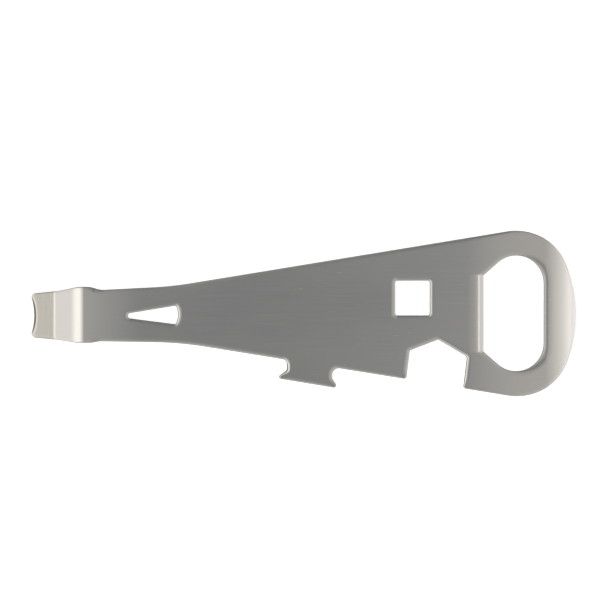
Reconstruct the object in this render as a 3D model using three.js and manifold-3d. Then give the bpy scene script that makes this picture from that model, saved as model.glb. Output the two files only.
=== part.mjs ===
// Painter's multi tool: one stamped and bent strip of brushed stainless steel.
//
// Frame, in millimetres: +X runs along the tool from the lid-lifter tip to the loop, +Y runs
// across the blade and +Z is up. The tool lies on its two bent ends, with the flat blade raised
// between them, and the origin is in the middle of its footprint on the surface below it.
import * as THREE from 'three';
import Module from 'manifold-3d';
import { mergeVertices } from 'three/addons/utils/BufferGeometryUtils.js';

// Driving dimensions
const TIP_X = -100.4;             // ends of the strip, seen from above
const LOOP_X = 101.2;
const THICKNESS = 2.5;            // of the steel

// Blade, whose two long edges spread towards the loop
const BLADE_SPREAD = 0.163;       // rise of each long edge per millimetre of length
const BLADE_HALF_WIDTH = 18;      // where the blade crosses X = 0
const NECK_OFFSET = -0.65;        // neck and tip lie a little below the blade's centre line
const NECK_BLEND_RADIUS = 130;

// Lid-lifter end: the neck eases down, then bends into the sloping leg
const NECK_EASE_START = -60;
const NECK_EASE_ANGLE = THREE.MathUtils.degToRad(1.6);
const BEND_START = -80.9;
const BEND_RADIUS = 9.3;          // of the upper surface
const LEG_ANGLE = THREE.MathUtils.degToRad(33);
const TIP_THICKNESS = 1.6;        // at the ground edge of the tip
const TIP_HALF_WIDTH = 7.95;
const TIP_OVERRUN = 0.05;         // its corners, before rounding, lie this far past the end
const TIP_HOLLOW = 2.05;          // and the middle of its hollow end this far inside it
const CREASE_HALF_WIDTH = 8.85;
const SHOULDER_HALF_WIDTH = 10.3;
const SHOULDER_OFFSET = -0.35;

// Loop end, which eases down and then rolls under
const LOOP_EASE_START = 60;
const LOOP_EASE_ANGLE = THREE.MathUtils.degToRad(3);
const ROLL_START = 89.1;
const ROLL_ANGLE = THREE.MathUtils.degToRad(46.8);
const LOOP_CORNER_X = 92.6;
const LOOP_CORNER_RADIUS = 21;
const LOOP_END_RADIUS = 45;
const LOOP_OVERRUN = 2.9;         // its end corner, before rounding, lies this far past the end
const LOOP_END_Y = -1.2;          // and this far off the centre line

// Openings
const SQUARE_SIZE = 12.8;         // takes a half-inch square drive
const SQUARE_CENTRE = [40, 5.7];
const OPENING_RADIUS = 10.3;      // rounded side of the bottle-opener loop
const LIP_X = 66.3;
const LIP_HALF_HEIGHT = 14.1;
const OPENING_FAR_X = 88.75;
const OPENING_SLOPE = 0.866;      // of the two edges that run from the lip to the round
const LIP_CHAMFER = [2, 1.2];     // width from above and depth

const SPANNER_LEAN = THREE.MathUtils.degToRad(7);

const ARC_STEPS = 6;
const MARGIN = 5;                 // how far cutting solids run past the steel

// Radius and fall of a round stretch of the upper surface, between two slopes
const arcRadius = (run, from, to) => run / (Math.sin(to) - Math.sin(from));
const arcFall = (radius, from, to) => radius * (Math.cos(from) - Math.cos(to));

const NECK_EASE_RADIUS = arcRadius(NECK_EASE_START - BEND_START, 0, NECK_EASE_ANGLE);
const LOOP_EASE_RADIUS = arcRadius(ROLL_START - LOOP_EASE_START, 0, LOOP_EASE_ANGLE);
const ROLL_RADIUS = arcRadius(LOOP_X - ROLL_START, LOOP_EASE_ANGLE, ROLL_ANGLE);

// Heights and places that follow from both ends standing on Z = 0
const TOP_Z = arcFall(LOOP_EASE_RADIUS, 0, LOOP_EASE_ANGLE)
  + arcFall(ROLL_RADIUS, LOOP_EASE_ANGLE, ROLL_ANGLE) + THICKNESS * Math.cos(ROLL_ANGLE);
const LEG_START = BEND_START
  - BEND_RADIUS * (Math.sin(LEG_ANGLE) - Math.sin(NECK_EASE_ANGLE));
const LEG_START_Z = TOP_Z - arcFall(NECK_EASE_RADIUS, 0, NECK_EASE_ANGLE)
  - arcFall(BEND_RADIUS, NECK_EASE_ANGLE, LEG_ANGLE);
const CREASE_X = LEG_START - (LEG_START_Z - THICKNESS) / Math.tan(LEG_ANGLE);

const wasm = await Module();
wasm.setup();

const bladeEdge = (x) => BLADE_HALF_WIDTH + BLADE_SPREAD * x;

// A closed outline through corners [x, y, radius]; each corner with a radius is rounded by an
// arc that touches both of its sides.
function roundedOutline(corners, Kind = THREE.Shape) {
  const outline = new Kind();
  corners.forEach(([x, y, radius = 0], i) => {
    const corner = new THREE.Vector2(x, y);
    const [beforeX, beforeY] = corners.at(i - 1);
    const [afterX, afterY] = corners[(i + 1) % corners.length];
    const back = new THREE.Vector2(beforeX, beforeY).sub(corner).normalize();
    const ahead = new THREE.Vector2(afterX, afterY).sub(corner).normalize();
    const half = Math.acos(back.dot(ahead)) / 2;
    const first = corner.clone().addScaledVector(back, radius / Math.tan(half));
    if (i === 0) outline.moveTo(first.x, first.y);
    else if (radius === 0) outline.lineTo(x, y);
    if (radius === 0) return;
    const last = corner.clone().addScaledVector(ahead, radius / Math.tan(half));
    const towards = back.clone().add(ahead).normalize();
    const centre = corner.clone().addScaledVector(towards, radius / Math.sin(half));
    const start = first.sub(centre).angle();
    const end = last.sub(centre).angle();
    outline.absarc(centre.x, centre.y, radius, start, end, back.cross(ahead) > 0);
  });
  outline.closePath();
  return outline;
}

function toSolid(geometry) {
  geometry.deleteAttribute('normal');
  geometry.deleteAttribute('uv');
  const merged = mergeVertices(geometry, 1e-5);
  return new wasm.Manifold(new wasm.Mesh({
    numProp: 3,
    vertProperties: new Float32Array(merged.attributes.position.array),
    triVerts: new Uint32Array(merged.index.array),
  }));
}

function toGeometry(solid) {
  const mesh = solid.getMesh();
  const geometry = new THREE.BufferGeometry();
  geometry.setAttribute('position', new THREE.BufferAttribute(mesh.vertProperties, 3));
  geometry.setIndex(new THREE.BufferAttribute(mesh.triVerts, 1));
  geometry.computeVertexNormals();
  return geometry;
}

// Upright prism on an outline drawn in the X-Y plane
function prismUp(outline, low, high) {
  const options = { depth: high - low, bevelEnabled: false, curveSegments: ARC_STEPS };
  return toSolid(new THREE.ExtrudeGeometry(outline, options).translate(0, 0, low));
}

// Prism across the tool on a profile drawn in the X-Z plane
function prismAcross(profile, halfWidth) {
  const options = { depth: 2 * halfWidth, bevelEnabled: false, curveSegments: ARC_STEPS };
  const geometry = new THREE.ExtrudeGeometry(profile, options).translate(0, 0, -halfWidth);
  return toSolid(geometry.rotateX(Math.PI / 2));
}

// Paint-lid lifter, neck and upper long edge, drawn from the tip to the loop
const upperEdge = [
  [TIP_X - TIP_OVERRUN, NECK_OFFSET + TIP_HALF_WIDTH, 1.6],
  [CREASE_X, NECK_OFFSET + CREASE_HALF_WIDTH, 3],
  [-83.4, SHOULDER_OFFSET + SHOULDER_HALF_WIDTH, 6],
  [-78.1, SHOULDER_OFFSET + SHOULDER_HALF_WIDTH, 9],
  [-75.2, NECK_OFFSET + 9.4, 9],
  [-48.4, bladeEdge(-48.4), NECK_BLEND_RADIUS],
  [LOOP_CORNER_X, bladeEdge(LOOP_CORNER_X), LOOP_CORNER_RADIUS],
];

// Point where a spanner flat that starts at [x, y] meets the lower long edge
function flatFoot([x, y]) {
  const lean = Math.tan(SPANNER_LEAN);
  const foot = (x - lean * (y + BLADE_HALF_WIDTH)) / (1 + lean * BLADE_SPREAD);
  return [foot, -bladeEdge(foot)];
}

// Half-hexagon spanner notch in the lower long edge, drawn from the loop towards the neck. Its
// two flats are parallel and 21.3 mm apart, for a 21 mm nut.
const nearFlat = [39, -13.6];
const farFlat = [60.2, -15.9];
const spannerNotch = [
  [...flatFoot(farFlat), 0.8],
  [...farFlat, 1.4],
  [49.5, -9.6, 0.7],
  [...nearFlat, 0.9],
  [...flatFoot(nearFlat), 1],
];

// Foot with a hook at each end, for tear strips and pail lids
const edgeHooks = [
  [10.4, -bladeEdge(10.4), 2.4],
  [10.4, -23.9, 1.5],
  [12.9, -27.55, 0.9],
  [-10.3, -23.7, 0.75],
  [-6.3, -20.75, 1.1],
  [-6.3, -bladeEdge(-6.3), 2],
];

const lowerNeck = [
  [-45.5, -bladeEdge(-45.5), NECK_BLEND_RADIUS],
  [-75.2, NECK_OFFSET - 9.4, 9],
  [-78.1, SHOULDER_OFFSET - SHOULDER_HALF_WIDTH, 9],
  [-83.4, SHOULDER_OFFSET - SHOULDER_HALF_WIDTH, 6],
  [CREASE_X, NECK_OFFSET - CREASE_HALF_WIDTH, 3],
  [TIP_X - TIP_OVERRUN, NECK_OFFSET - TIP_HALF_WIDTH, 1.6],
  [TIP_X + TIP_HOLLOW, NECK_OFFSET, 23],
];

const loopEnd = [
  [LOOP_X + LOOP_OVERRUN, LOOP_END_Y, LOOP_END_RADIUS],
  [LOOP_CORNER_X, -bladeEdge(LOOP_CORNER_X), LOOP_CORNER_RADIUS],
];

const nailSlot = [
  [-70.75, -0.8, 1],
  [-47.3, -3.8, 0.8],
  [-45.6, -0.5, 7],
  [-47.1, 3, 0.8],
];

const squareHole = [[1, 1], [-1, 1], [-1, -1], [1, -1]].map(([x, y]) => [
  SQUARE_CENTRE[0] + x * SQUARE_SIZE / 2,
  SQUARE_CENTRE[1] + y * SQUARE_SIZE / 2,
  0.8,
]);

const farCornerY = LIP_HALF_HEIGHT + OPENING_SLOPE * (OPENING_FAR_X - LIP_X);
const openerLoop = [
  [LIP_X, LIP_HALF_HEIGHT],
  [LIP_X, -LIP_HALF_HEIGHT],
  [OPENING_FAR_X, -farCornerY, OPENING_RADIUS],
  [OPENING_FAR_X, farCornerY, OPENING_RADIUS],
];

function planShape() {
  const shape = roundedOutline([
    ...upperEdge, ...loopEnd, ...spannerNotch, ...edgeHooks, ...lowerNeck,
  ]);
  shape.holes = [nailSlot, squareHole, openerLoop].map((hole) => roundedOutline(hole, THREE.Path));
  return shape;
}

// The round stretches of one bent end, as centres and angles for arcs about Y. Each stretch
// is [radius of the upper surface, slope at its far end], and outward is the end's X direction.
function bentEnd(startX, outward, stretches) {
  const top = new THREE.Vector2(startX, TOP_Z);
  let slope = 0;
  return stretches.map(([radius, nextSlope]) => {
    const from = Math.PI / 2 - outward * slope;
    const to = Math.PI / 2 - outward * nextSlope;
    const centre = new THREE.Vector2(-Math.cos(from), -Math.sin(from));
    centre.multiplyScalar(radius).add(top);
    top.set(Math.cos(to), Math.sin(to)).multiplyScalar(radius).add(centre);
    slope = nextSlope;
    return { centre, radius, from, to };
  });
}

// The same outline without the doubled points that arcs leave where they join
function withoutDoubles(outline) {
  const points = outline.getPoints(ARC_STEPS);
  return new THREE.Shape(points.filter((point, i) => point.distanceTo(points.at(i - 1)) > 1e-4));
}

// Side view of the bent strip: blade, loop end, leg and ground tip
function sideProfile() {
  const profile = new THREE.Shape();
  const loop = bentEnd(LOOP_EASE_START, 1, [
    [LOOP_EASE_RADIUS, LOOP_EASE_ANGLE], [ROLL_RADIUS, ROLL_ANGLE],
  ]);
  const neck = bentEnd(NECK_EASE_START, -1, [
    [NECK_EASE_RADIUS, NECK_EASE_ANGLE], [BEND_RADIUS, LEG_ANGLE],
  ]);
  const along = ({ centre, radius, from, to }) => (
    profile.absarc(centre.x, centre.y, radius, from, to, to < from)
  );
  const under = ({ centre, radius, from, to }) => (
    { centre, radius: radius - THICKNESS, from, to }
  );
  const backwards = ({ centre, radius, from, to }) => ({ centre, radius, from: to, to: from });
  const tuck = THICKNESS * Math.tan(LEG_ANGLE / 2);
  loop.forEach(along);
  loop.toReversed().map(under).map(backwards).forEach(along);
  neck.map(under).forEach(along);
  profile.lineTo(CREASE_X + tuck, 0);
  profile.lineTo(TIP_X - MARGIN, 0);
  profile.lineTo(TIP_X - MARGIN, TIP_THICKNESS);
  profile.lineTo(TIP_X, TIP_THICKNESS);
  profile.lineTo(CREASE_X, THICKNESS);
  neck.toReversed().map(backwards).forEach(along);
  return withoutDoubles(profile);
}

// Wedge that bevels the lip of the bottle opener from above
function lipWedge() {
  const [width, depth] = LIP_CHAMFER;
  const wedge = new THREE.Shape();
  wedge.moveTo(LIP_X - width, TOP_Z);
  wedge.lineTo(LIP_X, TOP_Z - depth);
  wedge.lineTo(LIP_X + 1, TOP_Z - depth);
  wedge.lineTo(LIP_X + 1, TOP_Z + 1);
  wedge.lineTo(LIP_X - width, TOP_Z + 1);
  return prismAcross(wedge, LIP_HALF_HEIGHT);
}

function toolBody() {
  const plan = prismUp(planShape(), -MARGIN, TOP_Z + MARGIN);
  const strip = prismAcross(sideProfile(), 2 * BLADE_HALF_WIDTH);
  const solid = plan.intersect(strip).subtract(lipWedge());
  const steel = new THREE.MeshStandardMaterial({ color: 0x8d8b88, roughness: 0.35, metalness: 1 });
  const mesh = new THREE.Mesh(toGeometry(solid), steel);
  mesh.name = 'tool_body';
  return mesh;
}

const multiTool = new THREE.Group();
multiTool.add(toolBody());

export default multiTool;
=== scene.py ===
"""Looks of the painter's multi tool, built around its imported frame.

The tool is one strip of brushed stainless steel. Its mesh is made flat, as the stamped blank
with its worn edges, and is then bent along its length. Lengths are in millimetres until the
finished mesh is written in metres, and drawings of the blank follow the CAD part's own sizes.
"""
import math

import bmesh
import bpy
from mathutils import Matrix, Vector


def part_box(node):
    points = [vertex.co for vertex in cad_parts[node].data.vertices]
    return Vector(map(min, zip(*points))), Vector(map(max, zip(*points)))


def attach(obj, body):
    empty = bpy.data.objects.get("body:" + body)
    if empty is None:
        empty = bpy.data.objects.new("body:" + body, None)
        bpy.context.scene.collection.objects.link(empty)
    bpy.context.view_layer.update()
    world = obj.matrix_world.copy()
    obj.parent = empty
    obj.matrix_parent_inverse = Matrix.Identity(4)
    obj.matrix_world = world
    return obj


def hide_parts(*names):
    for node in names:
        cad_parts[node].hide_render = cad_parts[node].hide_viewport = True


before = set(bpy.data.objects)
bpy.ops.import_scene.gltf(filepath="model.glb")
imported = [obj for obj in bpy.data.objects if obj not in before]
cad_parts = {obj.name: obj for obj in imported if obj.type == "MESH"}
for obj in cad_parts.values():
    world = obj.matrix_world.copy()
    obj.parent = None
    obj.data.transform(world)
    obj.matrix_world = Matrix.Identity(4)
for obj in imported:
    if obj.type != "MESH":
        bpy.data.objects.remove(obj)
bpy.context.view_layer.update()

MM = 0.001
CAD_LOW, CAD_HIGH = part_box("tool_body")
TOP_Z = CAD_HIGH.z / MM
TIP_X = -100.4
LOOP_X = 101.2
THICKNESS = 2.5

# Blank outline: the long edges spread towards the loop
BLADE_SPREAD = 0.163
BLADE_HALF_WIDTH = 18
NECK_OFFSET = -0.65
NECK_BLEND_RADIUS = 130
TIP_OVERRUN = 0.05
TIP_HOLLOW = 2.05
TIP_HALF_WIDTH = 7.95
CREASE_HALF_WIDTH = 8.85
SHOULDER_HALF_WIDTH = 10.3
SHOULDER_OFFSET = -0.35
LOOP_CORNER_X = 92.6
LOOP_CORNER_RADIUS = 21
LOOP_END_RADIUS = 45
LOOP_OVERRUN = 2.8
LOOP_END_Y = -1.2
HOOK_X = -6.3
SPANNER_LEAN = math.radians(7)
SQUARE_SIZE = 12.8
SQUARE_CENTRE = (40, 5.7)
LIP_X = 66.3
LIP_HALF_HEIGHT = 14.1
OPENING_FAR_X = 88.75
OPENING_SLOPE = 0.866
OPENING_RADIUS = 10.3

# Bent ends, measured on the upper surface from the flat blade outwards
LOOP_EASE_START = 60
LOOP_EASE_ANGLE = math.radians(3)
ROLL_START = 89.1
ROLL_ANGLE = math.radians(46.8)
NECK_EASE_START = -60
NECK_EASE_ANGLE = math.radians(1.6)
BEND_START = -80.9
BEND_RADIUS = 9.3
LEG_ANGLE = math.radians(33)
CREASE_RADIUS = 2.2
TIP_THICKNESS = 1.6

# Sections of the edges, from the wall inwards: distance from the wall, slope in degrees, and
# how much dark is painted, partly the bare cut and partly painted shade, or below 0 how much
# painted highlight. All the upper ones have the same number of rows.
WORN_EDGE = [
    (0, 90, 1), (0.05, 68, 1), (0.12, 50, 1), (0.18, 36, 0.4), (0.27, 22, 0),
    (0.4, 12, 0), (0.65, 5.5, 0), (1.1, 2.2, 0), (1.6, 0, 0),
]
HOOK_EDGE = [
    (0, 90, 1), (0.12, 72, 1), (0.32, 64, 1), (0.38, 40, 0.5), (0.43, 30, 0),
    (0.62, 23, 0), (0.78, 12, 0), (0.95, 4, 0), (1.4, 0, 0),
]
FAR_EDGE = [
    (0, 90, 1), (0.02, 68, 1), (0.05, 50, 1), (0.08, 34, 1), (0.11, 20, 0.5),
    (0.2, 12, 0), (0.5, 8.5, 0), (1.6, 6, 0), (3.6, 0, 0),
]
# The negative values on the ridge paint a highlight there.
OPENER_LIP = [
    (0, 90, 1), (0.12, 24, 0), (1.47, 22.5, 0), (1.55, 40, -0.3), (1.93, 42, -0.45),
    (2.05, 20, 0), (2.5, 6, 0), (3.3, 0.9, 0), (6.0, 0, 0),
]
# The dark values that reach onto the rounding paint shade along the loop's end.
LOOP_END_EDGE = [
    (0, 90, 1), (0.05, 62, 1), (0.12, 48, 1), (0.22, 43, 0.8), (0.4, 33, 0.5),
    (0.6, 22, 0.3), (0.85, 11, 0.15), (1.15, 4, 0.04), (1.6, 0, 0),
]
# The dark values over the bevel are partly its bare ground steel and partly painted shade along
# the tip's end.
TIP_BEVEL = [
    (0, 90, 1), (0.03, 75, 1), (0.08, 62, 1), (0.3, 58, 1), (0.74, 56, 1),
    (0.8, 30, 0.3), (0.9, 12, 0), (1.2, 3.5, 0), (1.6, 0, 0),
]
LOWER_EDGE = [(0, 90, 1), (0.08, 60, 0.5), (0.22, 30, 0), (0.45, 0, 0)]

EDGE_WIDTH = WORN_EDGE[-1][0]
EDGE_ROOM = 0.85          # share of a sharp corner's radius that its worn edge may take
ROOM_GROWTH = 0.35        # how fast the worn edge widens again away from that corner
POINT_SPACING = 0.8
ARC_SPACING = 0.22
BEND_STEP = 1.5           # degrees of bend between two cuts across the strip


# ---------------------------------------------------------------- outline of the blank

def blade_edge(x):
    """Half width of the blade."""
    return BLADE_HALF_WIDTH + BLADE_SPREAD * x


def long_edge(x, radius, side):
    """Corner on a long edge of the blade."""
    return (x, side * blade_edge(x), radius)


def flat_foot(x, y):
    """Point where a spanner flat that starts at (x, y) meets the lower edge of the blade."""
    lean = math.tan(SPANNER_LEAN)
    foot = (x - lean * (y + BLADE_HALF_WIDTH)) / (1 + lean * BLADE_SPREAD)
    return foot, -blade_edge(foot)


def tip_side(side):
    """Corners along one side of the lid lifter, from its tip to where the neck begins."""
    return [
        (TIP_X - TIP_OVERRUN, NECK_OFFSET + side * TIP_HALF_WIDTH, 1.6),
        (crease_x, NECK_OFFSET + side * CREASE_HALF_WIDTH, 3),
        (-83.4, SHOULDER_OFFSET + side * SHOULDER_HALF_WIDTH, 6),
        (-78.1, SHOULDER_OFFSET + side * SHOULDER_HALF_WIDTH, 9),
        (-75.2, NECK_OFFSET + side * 9.4, 9),
    ]


def body_outline():
    near_flat, far_flat = (39, -13.6), (60.2, -15.9)
    return [
        *tip_side(1),
        long_edge(-48.4, NECK_BLEND_RADIUS, 1),
        long_edge(LOOP_CORNER_X, LOOP_CORNER_RADIUS, 1),
        (LOOP_X + LOOP_OVERRUN, LOOP_END_Y, LOOP_END_RADIUS),
        long_edge(LOOP_CORNER_X, LOOP_CORNER_RADIUS, -1),
        (*flat_foot(*far_flat), 0.8),
        (*far_flat, 1.4),
        (49.5, -9.6, 0.7),
        (*near_flat, 0.9),
        (*flat_foot(*near_flat), 1),
        long_edge(10.4, 2.4, -1),
        (10.4, -23.9, 1.5),
        (12.9, -27.55, 0.9),
        (-10.3, -23.7, 0.75),
        (HOOK_X, -20.75, 1.1),
        long_edge(HOOK_X, 2, -1),
        long_edge(-45.5, NECK_BLEND_RADIUS, -1),
        *reversed(tip_side(-1)),
        (TIP_X + TIP_HOLLOW, NECK_OFFSET, 23),
    ]


NAIL_SLOT = [(-70.75, -0.8, 1), (-47.3, -3.8, 0.8), (-45.6, -0.5, 7), (-47.1, 3.0, 0.8)]


def square_hole():
    cx, cy = SQUARE_CENTRE
    half = SQUARE_SIZE / 2
    return [(cx + half * x, cy + half * y, 0.8) for x, y in ((1, 1), (-1, 1), (-1, -1), (1, -1))]


def opener_loop():
    far_y = LIP_HALF_HEIGHT + OPENING_SLOPE * (OPENING_FAR_X - LIP_X)
    return [
        (LIP_X, LIP_HALF_HEIGHT, 0),
        (LIP_X, -LIP_HALF_HEIGHT, 0),
        (OPENING_FAR_X, -far_y, OPENING_RADIUS),
        (OPENING_FAR_X, far_y, OPENING_RADIUS),
    ]


# ---------------------------------------------------------------- bending along the length

class Strip:
    """Upper surface of one bent end in side view, followed outwards from the flat blade. Each
    stretch is (length, turn), with the turn downwards in radians."""

    def __init__(self, start_x, outward, stretches):
        self.start_x = start_x
        self.outward = outward
        self.stretches = stretches

    def place(self, run):
        """X, Z and downward slope after that much steel."""
        across, down, slope = 0.0, 0.0, 0.0
        for length, turn in self.stretches:
            part = min(run, length)
            new_slope = slope + turn * part / length
            if turn:
                radius = length / turn
                across += radius * (math.sin(new_slope) - math.sin(slope))
                down += radius * (math.cos(slope) - math.cos(new_slope))
            else:
                across += part * math.cos(slope)
                down += part * math.sin(slope)
            slope = new_slope
            run -= part
            if run <= 0:
                break
        across += run * math.cos(slope)
        down += run * math.sin(slope)
        return self.start_x + self.outward * across, TOP_Z - down, slope

    def run_to(self, x):
        """How much steel lies before the point above X = x."""
        low, high = 0.0, 60.0
        for _ in range(50):
            middle = (low + high) / 2
            if self.outward * (self.place(middle)[0] - x) < 0:
                low = middle
            else:
                high = middle
        return (low + high) / 2


def arc_radius(run, start, end):
    """Radius of a round stretch that turns from one slope to another over a run in X."""
    return run / (math.sin(end) - math.sin(start))


def arc_fall(radius, start, end):
    return radius * (math.cos(start) - math.cos(end))


loop_ease_radius = arc_radius(ROLL_START - LOOP_EASE_START, 0, LOOP_EASE_ANGLE)
roll_radius = arc_radius(LOOP_X - ROLL_START, LOOP_EASE_ANGLE, ROLL_ANGLE)
loop_end = Strip(LOOP_EASE_START, 1, [
    (loop_ease_radius * LOOP_EASE_ANGLE, LOOP_EASE_ANGLE),
    (roll_radius * (ROLL_ANGLE - LOOP_EASE_ANGLE), ROLL_ANGLE - LOOP_EASE_ANGLE),
])

neck_ease_radius = arc_radius(NECK_EASE_START - BEND_START, 0, NECK_EASE_ANGLE)
leg_start = BEND_START - BEND_RADIUS * (math.sin(LEG_ANGLE) - math.sin(NECK_EASE_ANGLE))
leg_height = (TOP_Z - THICKNESS - arc_fall(neck_ease_radius, 0, NECK_EASE_ANGLE)
              - arc_fall(BEND_RADIUS, NECK_EASE_ANGLE, LEG_ANGLE))
crease_x = leg_start - leg_height / math.tan(LEG_ANGLE)
tip_slope = math.atan((THICKNESS - TIP_THICKNESS) / (crease_x - TIP_X))
crease_turn = LEG_ANGLE - tip_slope
crease_reach = CREASE_RADIUS * math.tan(crease_turn / 2)
lifter_end = Strip(NECK_EASE_START, -1, [
    (neck_ease_radius * NECK_EASE_ANGLE, NECK_EASE_ANGLE),
    (BEND_RADIUS * (LEG_ANGLE - NECK_EASE_ANGLE), LEG_ANGLE - NECK_EASE_ANGLE),
    (leg_height / math.sin(LEG_ANGLE) - crease_reach, 0),
    (CREASE_RADIUS * crease_turn, -crease_turn),
])


def blank_x(x):
    """Place along the flat blank of the point that ends up above X = x."""
    if x > LOOP_EASE_START:
        return LOOP_EASE_START + loop_end.run_to(x)
    if x < NECK_EASE_START:
        return NECK_EASE_START - lifter_end.run_to(x)
    return x


def surface(along):
    """X, Z, slope towards +X and thickness of the steel at a place along the blank."""
    if along > LOOP_EASE_START:
        x, z, slope = loop_end.place(along - LOOP_EASE_START)
        return x, z, slope, THICKNESS
    if along < NECK_EASE_START:
        x, z, slope = lifter_end.place(NECK_EASE_START - along)
        ground = min(max((crease_x + crease_reach - x) / (2 * crease_reach), 0), 1)
        thickness = THICKNESS + ground * (z / math.cos(slope) - THICKNESS)
        return x, z, -slope, thickness
    return along, TOP_Z, 0.0, THICKNESS


def bent(along, depth):
    """X and Z of the point at that share of the thickness below the upper surface."""
    x, z, slope, thickness = surface(along)
    return x - math.sin(slope) * thickness * depth, z - math.cos(slope) * thickness * depth


def bent_normal(along, depth, flat):
    """A normal of the flat blank, carried over to the bent strip."""
    step = 0.01
    x0, z0 = bent(along - step, depth)
    x1, z1 = bent(along + step, depth)
    run_x, run_z = (x1 - x0) / (2 * step), (z1 - z0) / (2 * step)
    slope, thickness = surface(along)[2:]
    up_x = math.sin(slope) * thickness / THICKNESS
    up_z = math.cos(slope) * thickness / THICKNESS
    size = run_x * up_z - run_z * up_x
    return Vector((
        up_z * flat.x - run_z * flat.z,
        size * flat.y,
        run_x * flat.z - up_x * flat.x,
    )).normalized()


# ---------------------------------------------------------------- the blank and its edges

class RimPoint:
    """Point on an outline, with its outward normal and the room that its worn edge has."""

    def __init__(self, place, normal, room):
        self.place = place
        self.normal = normal
        self.room = room
        self.worn = WORN_EDGE     # section of the edge, narrowed to the room it has
        self.shaped = None        # section of a lip or bevel, which keeps its full width
        self.share = 0.0          # and how fully it is shaped


def turned(vector, angle):
    """The 2-D vector turned anticlockwise."""
    c, s = math.cos(angle), math.sin(angle)
    return Vector((c * vector.x - s * vector.y, s * vector.x + c * vector.y))


def corner_arc(before, corner, after, radius):
    """Rim points round one corner, with the steel on the left."""
    back = (before - corner).normalized()
    ahead = (after - corner).normalized()
    half = back.angle(ahead) / 2
    convex = back.cross(ahead) < 0
    side = 1 if convex else -1
    sweep = math.pi - 2 * half
    centre = corner + (back + ahead).normalized() * radius / math.sin(half)
    normal = Vector((-back.y, back.x))
    steps = 1
    if radius:
        steps = math.ceil(sweep * max(radius / ARC_SPACING, 12))
    points = []
    for k in range(steps + 1):
        n = turned(normal, side * sweep * k / steps)
        room = radius * EDGE_ROOM if convex else EDGE_WIDTH
        points.append(RimPoint(centre + n * radius * side, n, room))
    return points


def rim(corners, is_hole=False):
    """Rim points all round an outline, ordered so that the steel is on their left."""
    places = [Vector(c[:2]) for c in corners]
    area = sum(a.cross(b) for a, b in zip(places, places[1:] + places[:1]))
    if (area > 0) == is_hole:
        corners = corners[::-1]
        places = places[::-1]
    arcs = [
        corner_arc(places[i - 1], places[i], places[(i + 1) % len(places)], corners[i][2])
        for i in range(len(places))
    ]
    points = []
    for i, arc in enumerate(arcs):
        points += arc
        start, end = arc[-1], arcs[(i + 1) % len(arcs)][0]
        gap = end.place - start.place
        count = math.floor(gap.length / POINT_SPACING)
        for k in range(1, count):
            points.append(RimPoint(start.place + gap * k / count, start.normal, EDGE_WIDTH))
    for p in points:
        shape_edge(p, is_hole)
    carry_to_blank(points)
    narrow_beside_corners(points)
    return points


def shape_edge(point, is_hole):
    """Marks the rim points that have a shape of their own."""
    x, y = point.place
    beside_hook = HOOK_X - 6 < x < HOOK_X + 1 and y < -BLADE_HALF_WIDTH - 0.5
    if not is_hole and beside_hook and point.normal.x < -0.3:
        point.worn = HOOK_EDGE
    if is_hole and abs(x - LIP_X) < 0.01 and point.normal.x > 0.99:
        point.shaped, point.share = OPENER_LIP, 1.0
    if is_hole and x > OPENING_FAR_X - OPENING_RADIUS:
        point.shaped, point.share = FAR_EDGE, max(0.0, -point.normal.x)
    if x > OPENING_FAR_X and not is_hole:
        point.shaped, point.share = LOOP_END_EDGE, min(max(2 * point.normal.x - 1, 0.0), 1.0)
    if x < TIP_X + 3 and point.normal.x < -0.9:
        across = (y - NECK_OFFSET) / (TIP_HALF_WIDTH - 1.2)
        point.shaped, point.share = TIP_BEVEL, max(0.0, 1 - across ** 4)


def carry_to_blank(points):
    """Moves rim points from the plan of the finished tool to the flat blank."""
    for p in points:
        along = blank_x(p.place.x)
        slope = surface(along)[2]
        p.normal = Vector((p.normal.x, p.normal.y / math.cos(slope))).normalized()
        p.place = Vector((along, p.place.y))


def narrow_beside_corners(points):
    """Lets the worn edge widen only gradually away from a sharp corner."""
    count = len(points)
    for step in (1, -1):
        for i in range(2 * count):
            here, last = points[step * i % count], points[step * (i - 1) % count]
            grown = last.room + ROOM_GROWTH * (here.place - last.place).length
            here.room = min(here.room, grown)


def section(profile):
    """The rows of an edge profile as (offset, drop, slope, cut), from the wall to the face."""
    drops = [0.0]
    for (outer, steep, _), (inner, shallow, _) in reversed(list(zip(profile, profile[1:]))):
        drops.append(drops[-1] + (inner - outer) * math.tan(math.radians((steep + shallow) / 2)))
    drops.reverse()
    return [(o, d, math.radians(a), cut) for (o, a, cut), d in zip(profile, drops)]


def mixed(first, second, share):
    """Two sections blended row by row."""
    return [
        tuple(a + (b - a) * share for a, b in zip(row, other))
        for row, other in zip(first, second)
    ]


def edge_rows(point):
    """The rim's section at a point: (offset, depth, outward, upward, cut), from the top down."""
    share = min(1, point.room / EDGE_WIDTH)
    upper = [(o * share, d * share, a, cut) for o, d, a, cut in section(point.worn)]
    if point.shaped:
        upper = mixed(upper, section(point.shaped), point.share)
    share = min(1, 3 * share)
    lower = [(o * share, d * share, a, cut) for o, d, a, cut in section(LOWER_EDGE)]
    rows = [(o, d, math.sin(a), math.cos(a), cut) for o, d, a, cut in reversed(upper)]
    rows += [(o, THICKNESS - d, math.sin(a), -math.cos(a), cut) for o, d, a, cut in lower]
    return rows


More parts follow.
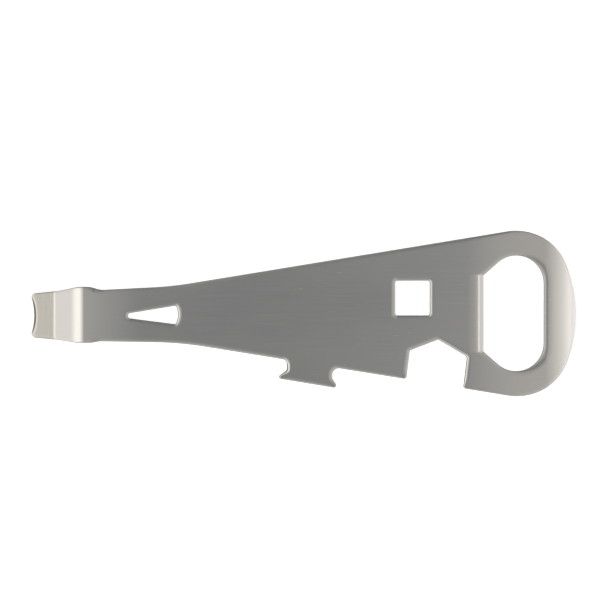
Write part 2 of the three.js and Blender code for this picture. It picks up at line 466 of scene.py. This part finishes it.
def add_rim(bm, points, layers):
    """Rings of quads round an outline. Returns the edges that bound the two faces."""
    normal_layer, edge_layer, cut_and_shade_layer = layers
    columns = []
    for p in points:
        column = []
        for offset, depth, outward, upward, cut in edge_rows(p):
            place = p.place - p.normal * offset
            vert = bm.verts.new((place.x, place.y, -depth))
            vert[normal_layer] = (p.normal.x * outward, p.normal.y * outward, upward)
            vert[edge_layer] = outward
            # Above 0 this paints dark, partly the bare cut and partly painted shade; below 0 it
            # paints a highlight.
            vert[cut_and_shade_layer] = cut
            column.append(vert)
        columns.append(column)
    for column, following in zip(columns, columns[1:] + columns[:1]):
        for k in range(len(column) - 1):
            bm.faces.new((column[k], column[k + 1], following[k + 1], following[k]))
    loops = []
    for row in (0, -1):
        ring = [column[row] for column in columns]
        loops.append([bm.edges.get(pair) for pair in zip(ring, ring[1:] + ring[:1])])
    return loops


def bend_cuts():
    """Places along the blank where it is cut across, so that it can follow the bends."""
    cuts = []
    for strip in (loop_end, lifter_end):
        run = 0.0
        for length, turn in strip.stretches:
            steps = max(1, math.ceil(abs(math.degrees(turn)) / BEND_STEP))
            cuts += [strip.start_x + strip.outward * (run + length * k / steps)
                     for k in range(steps)]
            run += length
        cuts.append(strip.start_x + strip.outward * run)
    return cuts


def make_blank():
    """The flat blank as a closed bmesh, with its normals in a vertex layer."""
    bm = bmesh.new()
    layers = (
        bm.verts.layers.float_vector.new("flat_normal"),
        bm.verts.layers.float.new("edge"),
        bm.verts.layers.float.new("cut"),
    )
    loops = [add_rim(bm, rim(body_outline()), layers)]
    for hole in (NAIL_SLOT, square_hole(), opener_loop()):
        loops.append(add_rim(bm, rim(hole, is_hole=True), layers))
    for face in (0, 1):
        edges = [edge for loop in loops for edge in loop[face]]
        bmesh.ops.triangle_fill(bm, use_beauty=True, edges=edges)
    for cut in bend_cuts():
        everything = bm.verts[:] + bm.edges[:] + bm.faces[:]
        bmesh.ops.bisect_plane(bm, geom=everything, plane_co=(cut, 0, 0), plane_no=(1, 0, 0))
    bmesh.ops.triangulate(bm, faces=bm.faces)
    bmesh.ops.recalc_face_normals(bm, faces=bm.faces)
    return bm, layers[0]


def make_tool():
    """The finished strip as an object, bent and in metres."""
    bm, normal_layer = make_blank()
    normals = []
    for vert in bm.verts:
        along, y, z = vert.co
        depth = -z / THICKNESS
        normals.append(bent_normal(along, depth, vert[normal_layer]))
        x, height = bent(along, depth)
        vert.co = Vector((x, y, height)) * MM
    mesh = bpy.data.meshes.new("stamped_tool")
    bm.to_mesh(mesh)
    bm.free()
    mesh.attributes.remove(mesh.attributes["flat_normal"])
    mesh.shade_smooth()
    mesh.normals_split_custom_set_from_vertices(normals)
    tool = bpy.data.objects.new("stamped_tool", mesh)
    bpy.context.scene.collection.objects.link(tool)
    return tool


# ---------------------------------------------------------------- materials

class Nodes:
    """Short way to build a node tree."""

    def __init__(self, owner):
        owner.use_nodes = True
        self.tree = owner.node_tree
        self.tree.nodes.clear()

    def add(self, kind, inputs, **settings):
        """The first output of a new node. Inputs are values or outputs, by name or number."""
        node = self.tree.nodes.new(kind)
        for name, value in settings.items():
            setattr(node, name, value)
        for key, value in inputs.items():
            if isinstance(value, bpy.types.NodeSocket):
                self.tree.links.new(value, node.inputs[key])
            else:
                node.inputs[key].default_value = value
        return node.outputs[0] if node.outputs else None

    def maths(self, operation, first, second=0.0, third=0.0):
        inputs = {0: first, 1: second, 2: third}
        return self.add("ShaderNodeMath", inputs, operation=operation)

    def total(self, first, *others):
        for other in others:
            first = self.maths("ADD", first, other)
        return first

    def times(self, first, second):
        return self.maths("MULTIPLY", first, second)

    def spread(self, value, low, high, to_low, to_high, kind="LINEAR"):
        """The value carried over from one range to another, and kept inside it."""
        inputs = {0: value, 1: low, 2: high, 3: to_low, 4: to_high}
        return self.add("ShaderNodeMapRange", inputs, interpolation_type=kind)

    def mix(self, factor, first, second, blend="MIX"):
        """Two colours mixed."""
        node = self.tree.nodes.new("ShaderNodeMix")
        node.data_type = "RGBA"
        node.blend_type = blend
        for key, value in ((0, factor), (6, first), (7, second)):
            if isinstance(value, bpy.types.NodeSocket):
                self.tree.links.new(value, node.inputs[key])
            else:
                node.inputs[key].default_value = value
        return node.outputs[2]

    def noise(self, coordinates, scale, turn=0.0, detail=3.0):
        """Noise on coordinates turned about Z and stretched by the vector scale."""
        mapped = self.add("ShaderNodeMapping", {
            "Vector": coordinates, "Rotation": (0, 0, turn), "Scale": scale,
        })
        return self.add("ShaderNodeTexNoise", {"Vector": mapped, "Scale": 1.0, "Detail": detail})

    def attribute(self, name):
        node = self.tree.nodes.new("ShaderNodeAttribute")
        node.attribute_name = name
        return node.outputs["Fac"]

    def coordinates(self, kind):
        return self.tree.nodes.new("ShaderNodeTexCoord").outputs[kind]

    def axes(self, vector):
        node = self.tree.nodes.new("ShaderNodeSeparateXYZ")
        self.tree.links.new(vector, node.inputs[0])
        return node.outputs


def scratches(n, place, turn):
    """Sparse hairline scratches lying at an angle to the length: 1 on a scratch."""
    fine = n.noise(place, (160, 9000, 9000), turn, 1.0)
    patches = n.noise(place, (190, 260, 260), turn, 1.0)
    line = n.spread(fine, 0.70, 0.76, 0.0, 1.0)
    return n.times(line, n.spread(patches, 0.56, 0.64, 0.0, 1.0))


def brushed_steel():
    """Stainless steel brushed lengthwise and ground at the tip; its edges are darkened, partly
    the bare cut and partly painted shade, and the opener lip's ridge has a painted highlight.
    """
    material = bpy.data.materials.new("brushed_steel")
    n = Nodes(material)
    place = n.coordinates("Object")
    edge = n.attribute("edge")
    # Painted shade together with the bare cut's dull colour where this is above 0, painted
    # highlight where it is below 0.
    cut = n.attribute("cut")
    hair = n.noise(place, (45, 11000, 11000))
    streak = n.noise(place, (12, 1500, 1500))
    cloud = n.noise(place, (18, 40, 40), detail=2.0)
    marks = n.maths("MAXIMUM", scratches(n, place, 0.5), scratches(n, place, -1.1))
    grind = n.noise(place, (4000, 70, 4000))
    along = n.axes(place)[0]
    ground = n.spread(along, (crease_x + 0.3) * MM, (crease_x - 0.3) * MM, 0.0, 1.0)

    tone = n.total(
        1.0, n.spread(hair, 0.3, 0.7, -0.018, 0.018), n.spread(streak, 0.3, 0.7, -0.012, 0.012),
        n.spread(cloud, 0.3, 0.7, -0.02, 0.02), n.times(marks, 0.03),
        n.times(ground, n.spread(grind, 0.3, 0.7, -0.06, 0.06)),
    )
    grey = n.add("ShaderNodeCombineXYZ", {0: tone, 1: tone, 2: tone})
    base = n.mix(ground, (0.70, 0.70, 0.695, 1), (0.59, 0.58, 0.55, 1))
    colour = n.mix(1.0, base, grey, "MULTIPLY")
    # Painted shade, partly the bare cut's own dull colour: dark along the rim walls, and at the
    # loop's end and the tip it reaches onto the rounding and bevel beside them.
    colour = n.mix(cut, colour, (0.14, 0.137, 0.13, 1))
    # Painted highlight: a near-white colour along the ridge of the opener lip, where the value
    # is below 0.
    colour = n.mix(n.times(cut, -1.0), colour, (0.98, 0.97, 0.95, 1))

    rough = n.total(
        n.spread(hair, 0.3, 0.7, 0.20, 0.26), n.spread(cloud, 0.3, 0.7, -0.012, 0.012),
        n.times(edge, 0.07), n.times(cut, 0.15), n.times(marks, 0.04),
    )
    height = n.total(hair, n.times(streak, 0.6), n.times(marks, -0.5))
    bump = n.add("ShaderNodeBump", {"Height": height, "Strength": 0.04, "Distance": 0.00003})
    grain = n.spread(cut, 0.0, 1.0, 0.97, 0.3)
    steel = n.add("ShaderNodeBsdfPrincipled", {
        "Base Color": colour, "Metallic": 1.0, "Roughness": rough, "Anisotropic": grain,
        "Tangent": n.add("ShaderNodeCombineXYZ", {1: 1.0, 2: 0.35}), "Normal": bump,
    })
    n.add("ShaderNodeOutputMaterial", {0: steel})
    return material


def pale_floor():
    """White sweep that is lit a little past white, so that it stays clean round the tool."""
    material = bpy.data.materials.new("pale_floor")
    n = Nodes(material)
    paint = n.add("ShaderNodeBsdfDiffuse", {0: (0.8, 0.8, 0.8, 1)})
    glow = n.add("ShaderNodeEmission", {0: (1, 1, 1, 1), 1: 0.62})
    both = n.add("ShaderNodeAddShader", {0: paint, 1: glow})
    n.add("ShaderNodeOutputMaterial", {0: both})
    return material


# ---------------------------------------------------------------- stage, light and camera

# Brightness of the studio by the X part of the direction: a dark camera hood overhead, a large
# soft light beyond the tip, and a white wall that brightens downwards beyond the loop
STUDIO = [
    (-1.0, 0.84), (-0.92, 0.94), (-0.80, 1.20), (-0.62, 1.50), (-0.36, 1.50), (-0.20, 1.00),
    (-0.10, 0.59), (-0.04, 0.475), (0.008, 0.32), (0.052, 0.11), (0.092, 0.32), (0.133, 0.465),
    (0.42, 0.61), (0.64, 0.76), (0.82, 0.93), (0.93, 1.15), (0.97, 1.28), (1.0, 1.25),
]
STUDIO_PEAK = 1.5


def light_studio():
    world = bpy.data.worlds.new("studio")
    bpy.context.scene.world = world
    n = Nodes(world)
    dx, dy, dz = n.axes(n.coordinates("Generated"))
    ramp = n.tree.nodes.new("ShaderNodeValToRGB")
    n.tree.links.new(n.spread(dx, -1.0, 1.0, 0.0, 1.0), ramp.inputs[0])
    stops = ramp.color_ramp.elements
    while len(stops) < len(STUDIO):
        stops.new(0.5)
    for stop, (position, level) in zip(stops, STUDIO):
        stop.position = (position + 1) / 2
        stop.color = (*[level / STUDIO_PEAK] * 3, 1)
    hood = min(level for _, level in STUDIO)
    profile = n.times(ramp.outputs[0], STUDIO_PEAK)
    window = n.maths("MAXIMUM", n.maths("SUBTRACT", 1.0, n.times(n.times(dy, dy), 1.3)), 0.25)
    sides = n.times(n.maths("SUBTRACT", profile, hood), window)
    near = n.times(n.maths("MAXIMUM", n.times(dy, -1.0), 0.0), 0.55)
    light = n.total(sides, near, hood)
    horizon = n.spread(dz, 0.14, 0.07, 0.0, 1.0, "SMOOTHSTEP")
    light = n.total(light, n.times(horizon, n.maths("SUBTRACT", 1.05, light)))
    warmth = n.spread(light, 0.2, 0.5, 0.0, 1.0)
    colour = n.mix(warmth, (0.95, 1.0, 1.04, 1), (1.0, 0.959, 0.897, 1))
    background = n.add("ShaderNodeBackground", {0: colour, 1: light})
    n.add("ShaderNodeOutputWorld", {0: background})


def make_floor():
    half = 15.0
    mesh = bpy.data.meshes.new("floor")
    corners = [(-half, -half, 0), (half, -half, 0), (half, half, 0), (-half, half, 0)]
    mesh.from_pydata(corners, [], [(0, 1, 2, 3)])
    mesh.materials.append(pale_floor())
    floor = bpy.data.objects.new("floor", mesh)
    bpy.context.scene.collection.objects.link(floor)


def make_camera():
    """Long lens almost straight above the blade, leaning a little towards the tip."""
    distance, field = 2.0, 0.2242
    lean_x, lean_y = math.radians(-3.5), math.radians(1)
    aim = Vector((0.0003, 0.0032, CAD_HIGH.z))
    data = bpy.data.cameras.new("camera")
    data.sensor_width = 36
    data.lens = data.sensor_width * distance / field
    data.clip_start = 0.05
    camera = bpy.data.objects.new("camera", data)
    back = Vector((math.tan(lean_x), math.tan(lean_y), 1)).normalized()
    right = Vector((0, 1, 0)).cross(back).normalized()
    camera.location = aim + back * distance
    camera.rotation_euler = Matrix((right, back.cross(right), back)).transposed().to_euler()
    bpy.context.scene.collection.objects.link(camera)
    bpy.context.scene.camera = camera


bpy.context.scene.view_settings.view_transform = "Standard"

make_camera()
make_floor()
light_studio()

tool = make_tool()
tool.data.materials.append(brushed_steel())
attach(tool, "root")
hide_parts("tool_body")
